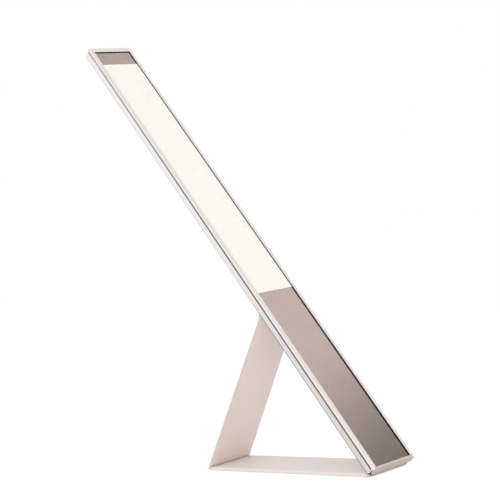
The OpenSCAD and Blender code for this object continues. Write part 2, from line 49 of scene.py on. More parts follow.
# Sizes of the solids in millimetres, as in the part's source
MM = 0.001
AXIS_IN = 1.55
AXIS_OUT = 1.8
PANEL_LEN = 400
PANEL_HALF = 20
PANEL_T = 7.7
CORNER_R = 1.6
SHELL_H = 4.6
FRAME_LOW = 5.5
GLASS_LOW = 6.3
CAP_LOW = 2.2
RELIEF_Y = 16.5
RELIEF_END = 1.2
FACE_Y = -19.95
LEAF_LEN = 135.25
LEAF_TOP_HALF = 18
BARREL_R = 1.5
PLATE_HALF_T = 1.2
HEAD_R = 1.3
HEAD_H = 0.55
SHANK_R = 0.75
SHANK_END = 5.15
CLIP_SCREW_LOW = -0.8

# How near two places in millimetres count as one, and how near two points are welded
TOL = 0.01
WELD = 0.0025

# Two faces that turn less than FLAT are one, an edge that turns more than SHARP can be rounded,
# and one that turns more than CREASE is shaded as a crease
FLAT = math.radians(1)
SHARP = math.radians(30)
CREASE = math.radians(40)

# Radius in millimetres and steps of each rounding
TRAY_BACK_ROUND = (0.25, 4)
TRAY_SEAM_ROUND = (0.2, 3)
FRAME_ROUND = (0.9, 6)
FRAME_LIP_ROUND = (0.12, 2)
FRAME_SEAM_ROUND = (0.6, 4)
SEAL_ROUND = (0.3, 4)
BUTTON_ROUND = (0.3, 4)
SOCKET_ROUND = (0.1, 3)
TONGUE_ROUND = (0.15, 3)
PIN_ROUND = (0.25, 3)
LEAF_SIDE_ROUND = (1.15, 8)
BASE_SIDE_ROUND = (0.6, 5)
LATCH_ROUND = (0.45, 4)
PLATE_END_ROUND = (0.25, 3)
CAP_ROUND = (0.5, 5)
CAP_BREAK = (0.12, 2)
CLIP_BREAK = (0.15, 2)
PAD_BREAK = (0.12, 2)

# Where a finish ends on the panel's pieces, in millimetres
LINE_TOP = 0.8  # top of the grey line of painted shade on the tray's back edge
LINE_DEPTH = 0.3  # depth of the faces that take that line
SHADE_END = 0.6  # end of the painted shade along the tray
SHADE_TOP = 3.8  # top of the painted shade above the panel's back
SHADE_SIDE = 0.6  # depth of the faces on the hinge plate that take the painted shade
FOOT_RIM = 1.75  # end of the rim along the frame's foot
RIM_HALF = 18.2  # half of that rim's painted width
LIP_DEPTH = 1.05  # depth where the frame's lip starts
SEAL_DEPTH = 0.6  # depth of the seal's rounded skin
PAINTED_END = 0.3  # length of a pin's painted end

# Where a rounding starts or ends on the stand's plates, in millimetres
LEAF_AXIS_PAST = 0.5  # just past the leaf's axis
LEAF_SIDE_START = 1.6  # where the leaf's sides start to spread
LEAF_BARREL_PAST = 3  # past the leaf's hinge barrel
LEAF_BODY = 6  # end of the leaf's hinge
LEAF_FOOT = 129  # start of the leaf's foot
BASE_LATCH = -38  # end of the base plate's latching end
BASE_HINGE = 105  # start of the base plate's hinge
BASE_UPPER = 2.4  # height that only the base plate's upper edges pass
LATCH_END = 2  # length of the latching end that is painted as crease shade

# Least length in millimetres of the edges that are rounded or broken
ALONG_LEAST = 3
ACROSS_LEAST = 1.3
WIDTH_LEAST = 35
CAP_LEAST = 0.7
CLIP_LEAST = 0.9
PAD_LEAST = 0.3

# How much of a face's normal points upwards on a level face, or sideways on a side or an end
LEVEL_SHARE = 0.99
PLATE_SHARE = 0.4
CAP_SHARE = 0.5

# Cuts across the middle of a ring, each as an axis and a place on it
MIDDLE = [(0, PANEL_LEN / 2), (1, 0)]

# The rings of a screw's head, each as its depth below the head's face and its radius
SOCKET_FLOOR = (0.42, 0.45)
SOCKET_WALL = (0.05, 0.5)
SOCKET_MOUTH = (0.02, 0.58)
FACE_EDGE = (0.02, HEAD_R - 0.12)
HEAD_EDGE = (0.05, HEAD_R - 0.05)
CONE_END = (HEAD_H, SHANK_R)

# The screws' rings: how many points each has, and the thread's sizes in millimetres
RING_POINTS = 36
THREAD_START = 0.1
THREAD_PITCH = 0.35
THREAD_ROOM = 0.5
CREST_R = SHANK_R - 0.02
ROOT_R = SHANK_R - 0.12
CREST_TO_ROOT = 0.17
TIP_LEN = 0.2
TIP_R = 0.3

# The socket's contacts in millimetres: two rows of CONTACTS on the tongue
CONTACTS = 12
CONTACT_SIZE = (0.25, 3.2, 0.06)
CONTACT_PITCH = 0.5
CONTACT_BACK = 0.6

# Strengths of the lit window, the white table and the white room
WINDOW_GLOW = 0.715
TABLE_GLOW = 1.12
TABLE_GLOW_SHARE = 0.8
ROOM_LIGHT = 0.75

# What glass and metal mirror of the room besides white: a dim doorway, with the way to its middle
# and the cosines of the angles from there, and a greyer ceiling, with the heights of its start
DOORWAY = (math.cos(math.radians(30)) * math.cos(math.radians(60)),
           math.cos(math.radians(30)) * math.sin(math.radians(60)), math.sin(math.radians(30)))
DOORWAY_EDGE = 0.9775
DOORWAY_CORE = 1.002
DOORWAY_LEVEL = 0.22
CEILING_LOW = 0.71
CEILING_HIGH = 0.8
CEILING_LEVEL = 0.8

# What every metal's shader is given
METAL = {"Metallic": 1}

# Each local frame's matrix takes millimetres to the world: X runs along the piece from its hinge
# or foot, and Z stands out of it
joints = {joint["name"]: joint for joint in frame["joints"]}
fold_axis = Vector(joints["panel_fold"]["pos_m"])
leaf_axis = Vector(joints["leaf_fold"]["pos_m"])
TILT = math.atan2(leaf_axis.z - fold_axis.z, fold_axis.x - leaf_axis.x)
TO_METRES = Matrix.Scale(MM, 4)
HALF_TURN = Matrix.Rotation(math.pi, 4, "Z")
ON_WORLD = TO_METRES
ON_PANEL = (Matrix.Translation(fold_axis) @ Matrix.Rotation(TILT, 4, "Y") @ HALF_TURN @ TO_METRES
            @ Matrix.Translation((-AXIS_IN, 0, AXIS_OUT)))
ON_LEAF = Matrix.Translation(leaf_axis) @ Matrix.Rotation(-TILT, 4, "Y") @ HALF_TURN @ TO_METRES


def place_camera():
    """The photograph's viewpoint, found from its straight edges."""
    data = bpy.data.cameras.new("camera")
    data.sensor_width = 36
    data.lens = 95.2756
    camera = bpy.data.objects.new("camera", data)
    spot = (0.7138923, -0.6339711, 0.1665959)
    yaw, pitch, roll = (math.radians(angle) for angle in (47.8947, 0.5815, -8.7043))
    turn = (Matrix.Rotation(yaw, 4, "Z") @ Matrix.Rotation(math.pi / 2 - pitch, 4, "X")
            @ Matrix.Rotation(roll, 4, "Z"))
    camera.matrix_world = Matrix.Translation(spot) @ turn
    scene.collection.objects.link(camera)
    scene.camera = camera
    scene.view_settings.view_transform = "Standard"


# Nodes and colours

def add(tree, kind, inputs=None, **settings):
    """Adds a node. An input takes a value, or another node's socket to link."""
    node = tree.nodes.new("ShaderNode" + kind)
    for name, value in settings.items():
        setattr(node, name, value)
    for name, value in (inputs or {}).items():
        if isinstance(value, bpy.types.NodeSocket):
            tree.links.new(value, node.inputs[name])
        else:
            node.inputs[name].default_value = value
    return node


def linear(colour):
    """The linear colour of an sRGB hex value."""
    parts = [int(colour[i:i + 2], 16) / 255 for i in (1, 3, 5)]
    return [c / 12.92 if c <= 0.04045 else ((c + 0.055) / 1.055) ** 2.4 for c in parts] + [1]


def blank(name):
    """A material without nodes, and its tree."""
    material = bpy.data.materials.new(name)
    material.use_nodes = True
    material.node_tree.nodes.clear()
    return material, material.node_tree


def millimetres(tree, place=ON_WORLD, stretch=(1, 1, 1)):
    """A point's place in a local frame in millimetres, with each axis divided by its stretch."""
    spot = add(tree, "TexCoord").outputs["Object"]
    turned = add(tree, "Mapping", {"Vector": spot, "Location": place.translation,
                                   "Rotation": place.to_euler(), "Scale": (MM, MM, MM)},
                 vector_type="TEXTURE").outputs["Vector"]
    return add(tree, "VectorMath", {0: turned, 1: stretch}, operation="DIVIDE").outputs["Vector"]


def blend(tree, value, colours):
    """A colour between two, by a pattern's value."""
    dark, light = (linear(colour) for colour in colours)
    return add(tree, "Mix", {"Factor": value, 6: dark, 7: light}, data_type="RGBA").outputs[2]


def along_panel(tree, start, end):
    """Grows from 0 to 1 between two places along the panel."""
    along = add(tree, "SeparateXYZ", {"Vector": millimetres(tree, ON_PANEL)}).outputs["X"]
    return add(tree, "MapRange", {"Value": along, "From Min": start, "From Max": end},
               interpolation_type="SMOOTHSTEP").outputs["Result"]


def surface(tree, value, colours, roughness, relief, constants=None, fade=None):
    """Lets one pattern drive colour, roughness and relief in millimetres, on one shader. A fade
    is a value and two more colours, which the first two turn into as that value grows to 1."""
    tint = blend(tree, value, colours)
    if fade:
        tint = add(tree, "Mix", {"Factor": fade[0], 6: tint, 7: blend(tree, value, fade[1:])},
                   data_type="RGBA").outputs[2]
    rough = add(tree, "MapRange", {"Value": value, "To Min": roughness[0], "To Max": roughness[1]})
    bump = add(tree, "Bump", {"Height": value, "Distance": relief * MM})
    shader = add(tree, "BsdfPrincipled", {
        "Base Color": tint, "Roughness": rough.outputs["Result"],
        "Normal": bump.outputs["Normal"], **(constants or {})})
    add(tree, "OutputMaterial", {"Surface": shader.outputs["BSDF"]})


# Materials of the panel's outside

def blasted_aluminium():
    """Bead-blasted, clear anodised aluminium: an even, soft silver with a faint sparkle, painted greyer towards
    the foot and paler towards the top as painted shade. The real grit is 0.1 mm and is drawn at 0.5 mm so that it
    shows."""
    material, tree = blank("blasted_aluminium")
    spot = millimetres(tree, ON_PANEL)
    grit = add(tree, "TexNoise", {"Vector": spot, "Scale": 1 / 0.5, "Detail": 4})
    # The fade along the panel is painted shade: greyer at the foot, paler towards the top
    surface(tree, grit.outputs["Fac"], ("#d4cecb", "#e3dfdc"), roughness=(0.34, 0.46), relief=0.01,
            constants=METAL, fade=(along_panel(tree, start=0, end=300), "#f0eeed", "#fcfbfa"))
    return material


def satin_aluminium():
    """Satin anodised aluminium: long brush lines make pale streaks and soft highlights.
    Real lines are 0.05 mm wide and are drawn at 0.35 mm so that they show."""
    material, tree = blank("satin_aluminium")
    spot = millimetres(tree, ON_PANEL, stretch=(40, 0.35, 0.35))
    lines = add(tree, "TexNoise", {"Vector": spot, "Scale": 1, "Detail": 3})
    surface(tree, lines.outputs["Fac"], ("#f2eae6", "#fcf6f3"), roughness=(0.46, 0.58),
            relief=0.006, constants=METAL)
    return material


def edge_shade_aluminium():
    """The shell's back edge: a grey metal line with tool marks 0.3 mm apart. Its grey is painted shade that stands
    in for a dark reflection, darkest towards the foot below the stand and paler above."""
    material, tree = blank("edge_shade_aluminium")
    spot = millimetres(tree, ON_PANEL, stretch=(0.3, 3, 3))
    marks = add(tree, "TexNoise", {"Vector": spot, "Scale": 1, "Detail": 2})
    # Painted shade: the grey, and its darker part towards the foot, stand in for a dark reflection along the edge
    surface(tree, marks.outputs["Fac"], ("#8a8480", "#9a9490"), roughness=(0.3, 0.42), relief=0.003,
            constants=METAL, fade=(along_panel(tree, start=120, end=175), "#cfcbc8", "#dad6d3"))
    return material


def near_black_and_shade():
    """Near black, with a soft skin and ripples 1 mm wide: the dark line on the frame's lip beside the glass, and
    painted shade in the recessed corners at the panel's foot.
    """
    material, tree = blank("near_black_and_shade")
    spot = millimetres(tree, ON_PANEL, stretch=(6, 1, 1))
    ripples = add(tree, "TexNoise", {"Vector": spot, "Scale": 1, "Detail": 2})
    surface(tree, ripples.outputs["Fac"], ("#21160f", "#2f231b"), roughness=(0.5, 0.65),
            relief=0.02)
    return material


def seam_rubber():
    """Extruded rubber seal: matte grey with lines 0.3 mm wide along it from the die, and painted a little paler
    towards the lamp's top as painted light."""
    material, tree = blank("seam_rubber")
    spot = millimetres(tree, ON_PANEL, stretch=(20, 0.3, 0.3))
    lines = add(tree, "TexNoise", {"Vector": spot, "Scale": 1, "Detail": 2})
    # The fade along the panel is painted light: paler towards the top
    surface(tree, lines.outputs["Fac"], ("#7a746f", "#8c8681"), roughness=(0.6, 0.8), relief=0.01,
            fade=(along_panel(tree, start=220, end=380), "#aaa6a2", "#b8b4b0"))
    return material


def cover_float_glass():
    """Polished float glass: clear and hard-edged, with the faintest film of handling in patches
    about 30 mm across."""
    material, tree = blank("cover_float_glass")
    spot = millimetres(tree, ON_PANEL)
    smears = add(tree, "TexNoise", {"Vector": spot, "Scale": 1 / 30, "Detail": 5})
    rough = add(tree, "MapRange", {"Value": smears.outputs["Fac"], "To Min": 0, "To Max": 0.02})
    shader = add(tree, "BsdfPrincipled", {
        "Base Color": linear("#fdfcfa"), "Roughness": rough.outputs["Result"], "IOR": 1.5,
        "Transmission Weight": 1})
    add(tree, "OutputMaterial", {"Surface": shader.outputs["BSDF"]})
    return material


def bronze_mirror_print():
    """Half-mirror ink behind the glass: a warm bronze that reflects the room, with faint mottling
    about 12 mm across from the screen printing."""
    material, tree = blank("bronze_mirror_print")
    spot = millimetres(tree, ON_PANEL)
    mottle = add(tree, "TexNoise", {"Vector": spot, "Scale": 1 / 12, "Detail": 6})
    surface(tree, mottle.outputs["Fac"], ("#bda9a1", "#c1aea6"), roughness=(0.02, 0.05),
            relief=0.0004, constants=METAL)
    return material


def lit_opal_acrylic():
    """Opal acrylic lit from behind: an even cream glow, with clouds about 25 mm across that are
    so faint that they only keep it from looking flat."""
    material, tree = blank("lit_opal_acrylic")
    spot = millimetres(tree, ON_PANEL)
    cloud = add(tree, "TexNoise", {"Vector": spot, "Scale": 1 / 25, "Detail": 2})
    tint = add(tree, "Mix", {"Factor": cloud.outputs["Fac"], 6: linear("#fffaf4"),
                             7: linear("#fffdf9")}, data_type="RGBA")
    shader = add(tree, "BsdfPrincipled", {
        "Base Color": linear("#b9b2a8"), "Roughness": 0.35, "Emission Color": tint.outputs[2],
        "Emission Strength": WINDOW_GLOW})
    add(tree, "OutputMaterial", {"Surface": shader.outputs["BSDF"]})
    return material


def turned_button_aluminium():
    """Anodised aluminium with turned rings 0.2 mm apart, which catch the light as a fine spiral."""
    material, tree = blank("turned_button_aluminium")
    spot = millimetres(tree, ON_PANEL)
    rings = add(tree, "TexWave", {"Vector": spot, "Scale": 1.6, "Distortion": 0.4, "Detail": 1},
                wave_type="RINGS", rings_direction="Y")
    surface(tree, rings.outputs["Fac"], ("#d8d3cf", "#ebe6e2"), roughness=(0.24, 0.36),
            relief=0.004, constants=METAL)
    return material


def drawn_nickel_steel():
    """Drawn, nickel-plated steel sheet: warm grey, with faint lines from the press. Real lines
    are 0.03 mm wide and are drawn at 0.2 mm so that they show."""
    material, tree = blank("drawn_nickel_steel")
    spot = millimetres(tree, ON_PANEL, stretch=(0.2, 4, 0.2))
    lines = add(tree, "TexNoise", {"Vector": spot, "Scale": 1, "Detail": 2})
    surface(tree, lines.outputs["Fac"], ("#aaa6a0", "#c3bfb8"), roughness=(0.2, 0.34), relief=0.003,
            constants=METAL)
    return material


def black_moulded_nylon():
    """Moulded black nylon: satin black with a fine spark-eroded grain of 0.2 mm."""
    material, tree = blank("black_moulded_nylon")
    spot = millimetres(tree, ON_PANEL)
    grain = add(tree, "TexVoronoi", {"Vector": spot, "Scale": 1 / 0.2})
    surface(tree, grain.outputs["Distance"], ("#0c0c0d", "#1a1a1c"), roughness=(0.45, 0.6),
            relief=0.01)
    return material


def contact_gold():
    """Gold flash on the socket's contacts: bright yellow, with faint stamping lines 0.1 mm wide."""
    material, tree = blank("contact_gold")
    spot = millimetres(tree, ON_PANEL, stretch=(0.1, 2, 0.1))
    lines = add(tree, "TexNoise", {"Vector": spot, "Scale": 1, "Detail": 2})
    surface(tree, lines.outputs["Fac"], ("#d9a441", "#ecc062"), roughness=(0.15, 0.28),
            relief=0.002, constants=METAL)
    return material


def zinc_plated_steel():
    """Zinc-plated screws: a cool dark grey with cloudy patches of 0.7 mm from the passivation
    bath."""
    material, tree = blank("zinc_plated_steel")
    spot = millimetres(tree, ON_PANEL)
    clouds = add(tree, "TexNoise", {"Vector": spot, "Scale": 1 / 0.7, "Detail": 4})
    surface(tree, clouds.outputs["Fac"], ("#74757a", "#9a9ba0"), roughness=(0.28, 0.45),
            relief=0.004, constants=METAL)
    return material


# Materials of the stand

def rose_powder_coat(name, colours, place):
    """Fine powder coat on sheet metal: matte rose-grey with a soft orange peel about 1 mm across."""
    material, tree = blank(name)
    spot = millimetres(tree, place)
    peel = add(tree, "TexNoise", {"Vector": spot, "Scale": 1 / 0.9, "Detail": 3})
    surface(tree, peel.outputs["Fac"], colours, roughness=(0.42, 0.56), relief=0.012)
    return material


def pressed_steel():
    """Pressed and tumbled steel: mid grey with a fine, worn sheen. The real marks of the tumbling
    are 0.1 mm across and are drawn at 0.4 mm so that they show."""
    material, tree = blank("pressed_steel")
    spot = millimetres(tree, ON_PANEL)
    tumbled = add(tree, "TexNoise", {"Vector": spot, "Scale": 1 / 0.4, "Detail": 5})
    surface(tree, tumbled.outputs["Fac"], ("#a19d99", "#bdb9b5"), roughness=(0.3, 0.5),
            relief=0.006, constants=METAL)
    return material


def ground_steel():
    """Ground pin steel: grey, with rings round the pin from the wheel. Real rings are 0.02 mm
    apart and are drawn at 0.25 mm so that they show."""
    material, tree = blank("ground_steel")
    spot = millimetres(tree, ON_WORLD, stretch=(4, 0.25, 4))
    rings = add(tree, "TexNoise", {"Vector": spot, "Scale": 1, "Detail": 2})
    surface(tree, rings.outputs["Fac"], ("#77757a", "#94929a"), roughness=(0.22, 0.36),
            relief=0.003, constants=METAL)
    return material


def nickel_plate():
    """Nickel plate on the latch magnets: bright and slightly yellow, with shallow pits 0.6 mm
    apart."""
    material, tree = blank("nickel_plate")
    spot = millimetres(tree)
    pits = add(tree, "TexVoronoi", {"Vector": spot, "Scale": 1 / 0.6})
    surface(tree, pits.outputs["Distance"], ("#b9b4a8", "#cdc8bc"), roughness=(0.12, 0.26),
            relief=0.003, constants=METAL)
    return material


def silicone_pad():
    """Cast silicone sheet: dark and matte, with pebbles 0.8 mm apart that grip the table."""
    material, tree = blank("silicone_pad")
    spot = millimetres(tree)
    pebbles = add(tree, "TexVoronoi", {"Vector": spot, "Scale": 1 / 0.8}, feature="SMOOTH_F1")
    surface(tree, pebbles.outputs["Distance"], ("#474340", "#5a5551"), roughness=(0.55, 0.75),
            relief=0.03)
    return material


# Materials inside the panel

def copper_touch_foil():
    """Laminated copper foil: warm metal under a clear film, etched into touch pads of 6 mm."""
    material, tree = blank("copper_touch_foil")
    spot = millimetres(tree, ON_PANEL)
    pads = add(tree, "TexBrick", {"Vector": spot, "Scale": 1, "Mortar Size": 0.12,
                                  "Brick Width": 6, "Row Height": 6})
    surface(tree, pads.outputs["Fac"], ("#c98a5c", "#6b4a35"), roughness=(0.25, 0.4), relief=0.01,
            constants=METAL)
    return material


def clear_guide_acrylic():
    """Clear cast acrylic with printed dots 1.2 mm apart, which send the light out of its face."""
    material, tree = blank("clear_guide_acrylic")
    spot = millimetres(tree, ON_PANEL)
    dots = add(tree, "TexVoronoi", {"Vector": spot, "Scale": 1 / 1.2, "Randomness": 0})
    surface(tree, dots.outputs["Distance"], ("#ffffff", "#eef4f7"), roughness=(0.5, 0.1),
            relief=0.01, constants={"IOR": 1.49})
    return material


def white_reflector_film():
    """Foamed white film: a very even matte white, with a fine grain of 0.3 mm."""
    material, tree = blank("white_reflector_film")
    spot = millimetres(tree, ON_PANEL)
    foam = add(tree, "TexNoise", {"Vector": spot, "Scale": 1 / 0.3, "Detail": 3})
    surface(tree, foam.outputs["Fac"], ("#f2f2f0", "#fafaf8"), roughness=(0.7, 0.85), relief=0.004)
    return material


def rolled_aluminium():
    """Mill-finish aluminium sheet: bright, with rolling lines along its length. Real lines are
    0.05 mm wide and are drawn at 0.5 mm so that they show."""
    material, tree = blank("rolled_aluminium")
    spot = millimetres(tree, ON_PANEL, stretch=(60, 0.5, 0.5))
    lines = add(tree, "TexNoise", {"Vector": spot, "Scale": 1, "Detail": 4})
    surface(tree, lines.outputs["Fac"], ("#b8b9bb", "#d3d4d6"), roughness=(0.22, 0.38),
            relief=0.005, constants=METAL)
    return material


def solder_mask(name, colours):
    """Solder mask on a board: glossy lacquer, with copper tracks 0.9 mm apart as faint ridges."""
    material, tree = blank(name)
    spot = millimetres(tree, ON_PANEL)
    tracks = add(tree, "TexBrick", {"Vector": spot, "Scale": 1, "Mortar Size": 0.08,
                                    "Brick Width": 3, "Row Height": 0.9})
    surface(tree, tracks.outputs["Fac"], colours, roughness=(0.25, 0.35), relief=0.03)
    return material


def phosphor_gel():
    """Phosphor-filled silicone on a diode: opaque yellow with a wet, domed shine. The real grains
    are 0.02 mm and are drawn at 0.15 mm so that they show."""
    material, tree = blank("phosphor_gel")
    spot = millimetres(tree, ON_PANEL)
    grains = add(tree, "TexNoise", {"Vector": spot, "Scale": 1 / 0.15, "Detail": 3})
    surface(tree, grains.outputs["Fac"], ("#e0b93a", "#f3d568"), roughness=(0.15, 0.25),
            relief=0.01)
    return material


def polyimide_ribbon():
    """Polyimide ribbon cable: amber film over copper lines 0.5 mm apart."""
    material, tree = blank("polyimide_ribbon")
    spot = millimetres(tree, ON_PANEL)
    lines = add(tree, "TexWave", {"Vector": spot, "Scale": 0.6, "Distortion": 0},
                bands_direction="Z")
    surface(tree, lines.outputs["Fac"], ("#a4661f", "#c98736"), roughness=(0.3, 0.4), relief=0.01)
    return material


def glass_filled_nylon():
    """Glass-filled nylon: dark grey with short fibres that lie along the flow of the moulding.
    Real fibres are 0.01 mm thick and are drawn at 0.15 mm so that they show."""
    material, tree = blank("glass_filled_nylon")
    spot = millimetres(tree, ON_PANEL, stretch=(1.5, 0.15, 0.15))
    fibres = add(tree, "TexNoise", {"Vector": spot, "Scale": 1, "Detail": 3})
    surface(tree, fibres.outputs["Fac"], ("#222224", "#323235"), roughness=(0.5, 0.65), relief=0.01)
    return material


def pouch_laminate():
    """Aluminium laminate round the cell: satin silver with soft dents of 4 mm from the folding."""
    material, tree = blank("pouch_laminate")
    spot = millimetres(tree, ON_PANEL)
    dents = add(tree, "TexNoise", {"Vector": spot, "Scale": 1 / 4, "Detail": 3})
    surface(tree, dents.outputs["Fac"], ("#a9acb1", "#c6c9ce"), roughness=(0.25, 0.4), relief=0.05,
            constants=METAL)
    return material


def closed_cell_foam():
    """Closed-cell foam: black and dull, with open cells of about 0.5 mm at its cut faces."""
    material, tree = blank("closed_cell_foam")
    spot = millimetres(tree, ON_PANEL)
    cells = add(tree, "TexVoronoi", {"Vector": spot, "Scale": 1 / 0.5})
    surface(tree, cells.outputs["Distance"], ("#161616", "#2b2b2b"), roughness=(0.85, 0.95),
            relief=0.08)
    return material


def silicone_lead():
    """Silicone insulation: soft red, with a waxy bloom in streaks 0.5 mm wide."""
    material, tree = blank("silicone_lead")
    spot = millimetres(tree, ON_PANEL, stretch=(3, 0.5, 0.5))
    bloom = add(tree, "TexNoise", {"Vector": spot, "Scale": 1, "Detail": 2})
    surface(tree, bloom.outputs["Fac"], ("#9c1f1a", "#b5302a"), roughness=(0.4, 0.55), relief=0.004)
    return material


def chip_epoxy():
    """Moulded chip epoxy: charcoal, with a fine blasted grain of 0.12 mm."""
    material, tree = blank("chip_epoxy")
    spot = millimetres(tree, ON_PANEL)
    grain = add(tree, "TexNoise", {"Vector": spot, "Scale": 1 / 0.12, "Detail": 2})
    surface(tree, grain.outputs["Fac"], ("#17171a", "#26262a"), roughness=(0.5, 0.7), relief=0.005)
    return material


def white_acetal():
    """Moulded acetal: a slightly waxy white with faint flow lines 0.6 mm wide."""
    material, tree = blank("white_acetal")
    spot = millimetres(tree, ON_PANEL, stretch=(0.6, 3, 0.6))
    flow = add(tree, "TexNoise", {"Vector": spot, "Scale": 1, "Detail": 2})
    surface(tree, flow.outputs["Fac"], ("#dcdcd6", "#e8e8e2"), roughness=(0.3, 0.42), relief=0.004)
    return material


finishes = {
    "shell_aluminium": blasted_aluminium(),
    "frame_aluminium": satin_aluminium(),
    "seam_rubber": seam_rubber(),
    "bronze_glass": cover_float_glass(),
    "mirror_print": bronze_mirror_print(),
    "copper_foil": copper_touch_foil(),
    "diffuser_acrylic": lit_opal_acrylic(),
    "guide_acrylic": clear_guide_acrylic(),
    "reflector_film": white_reflector_film(),
    "spreader_aluminium": rolled_aluminium(),
    "bar_board": solder_mask("white_solder_mask", ("#eceae4", "#d9d7d0")),
    "led_phosphor": phosphor_gel(),
    "flex_polyimide": polyimide_ribbon(),
    "chassis_plastic": glass_filled_nylon(),
    "pouch_foil": pouch_laminate(),
    "foam": closed_cell_foam(),
    "lead_insulation": silicone_lead(),
    "board_laminate": solder_mask("green_solder_mask", ("#0f5a33", "#0a3f24")),
    "chip_epoxy": chip_epoxy(),
    "socket_steel": drawn_nickel_steel(),
    "tongue_plastic": black_moulded_nylon(),
    "switch_steel": drawn_nickel_steel(),
    "plunger_plastic": white_acetal(),
    "button_aluminium": turned_button_aluminium(),
    "screw_steel": zinc_plated_steel(),
    # The hinge plate's coat is darker than the stand's as painted shade of the foot
    "hinge_paint": rose_powder_coat("hinge_coat_painted_shade", ("#c6b8b1", "#cfc2bb"), ON_PANEL),
    "pin_steel": ground_steel(),
    "bracket_steel": pressed_steel(),
    "leaf_paint": rose_powder_coat("leaf_powder_coat", ("#e6dad4", "#eee3dd"), ON_LEAF),
    "magnet_nickel": nickel_plate(),
    "base_paint": rose_powder_coat("base_powder_coat", ("#e2d8d3", "#e9dfdb"), ON_WORLD),
    "pad_silicone": silicone_pad(),
}
# Near black: the lip's dark line, and painted shade in the corners at the foot
near_black = near_black_and_shade()
# The back edge's grey line, painted shade
edge_shade = edge_shade_aluminium()
gold = contact_gold()
# A dark coat, painted shade at the crease between leaf and base
crease_shade_coat = rose_powder_coat("crease_painted_shade", ("#8a7365", "#9a8375"), ON_WORLD)
# A darker copy of the leaf's coat, painted shade on its sides
leaf_side_shade_coat = rose_powder_coat("leaf_side_painted_shade", ("#cfc2bb", "#d9cdc7"), ON_LEAF)
# A darker coat on the frame's foot rim, painted shade of the foot
foot_rim_shade_coat = rose_powder_coat("foot_rim_painted_shade", ("#cbbeb7", "#d4c8c1"), ON_PANEL)


# Pieces

def take(node, place, cuts=()):
    """The CAD node's shape in its local frame, with its triangles joined into flat faces. Each cut
    is an axis and a place on it. The faces stay apart there, so that a part of them can be painted
    and so that rounding can't pull the faces of a ring askew."""
    shape = bmesh.new()
    shape.from_mesh(frame["nodes"][node].data)
    shape.transform(place.inverted())
    bmesh.ops.remove_doubles(shape, verts=shape.verts, dist=WELD)
    for axis, value in cuts:
        square = [0, 0, 0]
        square[axis] = 1
        found = bmesh.ops.bisect_plane(shape, geom=shape.verts[:] + shape.edges[:] + shape.faces[:],
                                       plane_co=[value * part for part in square], plane_no=square)
        for part in found["geom_cut"]:
            if isinstance(part, bmesh.types.BMEdge):
                part.seam = True
    bmesh.ops.remove_doubles(shape, verts=shape.verts, dist=WELD)
    bmesh.ops.dissolve_limit(shape, angle_limit=FLAT, verts=shape.verts, edges=shape.edges,
                             delimit={"SEAM"})
    return shape


def soften(shape, rounding, chosen):
    """Rounds the chosen sharp edges and returns the new faces."""
    radius, steps = rounding
    sharp = [edge for edge in shape.edges
             if edge.is_manifold and edge.calc_face_angle() > SHARP and chosen(edge)]
    return bmesh.ops.bevel(shape, geom=sharp, offset=radius, segments=steps, profile=0.5,
                           affect="EDGES")["faces"]


def long_edge(least):
    """Chooses straight edges, and not the short ones of a round hole."""
    return lambda edge: edge.calc_length() > least


def depth(spot):
    """How deep a point lies inside the panel's outline."""
    return min(PANEL_HALF - abs(spot.y), PANEL_LEN - spot.x, spot.x)


def at_height(h, inner=False, foot=CORNER_R):
    """Chooses the edges at one height that lie on the panel's outline, or all the others. The
    outline's corners reach in by their radius, and at the foot by the given length."""
    def chosen(edge):
        if any(abs(v.co.z - h) > TOL for v in edge.verts):
            return False
        rim = CORNER_R + TOL
        on_outline = all(abs(v.co.y) > PANEL_HALF - rim or v.co.x < foot + TOL
                         or v.co.x > PANEL_LEN - rim for v in edge.verts)
        return on_outline != inner
    return chosen


def middles(node, place):
    """The middle of each separate solid of a CAD node, in its local frame."""
    shape = take(node, place)
    left = set(shape.verts)
    found = []
    while left:
        solid = [left.pop()]
        for v in solid:
            near = {edge.other_vert(v) for edge in v.link_edges} & left
            left -= near
            solid.extend(near)
        found.append([(min(v.co[i] for v in solid) + max(v.co[i] for v in solid)) / 2
                      for i in range(3)])
    shape.free()
    return sorted(found)


def loft(shape, rings):
    """Adds a closed solid through rings of equally many points."""
    rows = [[shape.verts.new(point) for point in ring] for ring in rings]
    for low, high in zip(rows, rows[1:]):
        for i in range(len(low)):
            shape.faces.new((low[i - 1], low[i], high[i], high[i - 1]))
    shape.faces.new(reversed(rows[0]))
    shape.faces.new(rows[-1])


def make_piece(name, shape, place, node, *more):
    """Turns a shape into a piece that stands for a CAD node. Its faces take the finish of the
    node's slot, and those of material index 1 and up take the further finishes in their order."""
    shape.transform(place)
    mesh = bpy.data.meshes.new(name)
    shape.to_mesh(mesh)
    shape.free()
    piece = bpy.data.objects.new(name, mesh)
    scene.collection.objects.link(piece)
    for finish in (finishes[slot_of[node]], *more):
        mesh.materials.append(finish)
    mesh.shade_smooth()
    mesh.set_sharp_from_angle(angle=CREASE)
    even = piece.modifiers.new("even_normals", "WEIGHTED_NORMAL")
    even.keep_sharp = True
    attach(piece, body_of[node])
    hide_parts(node)


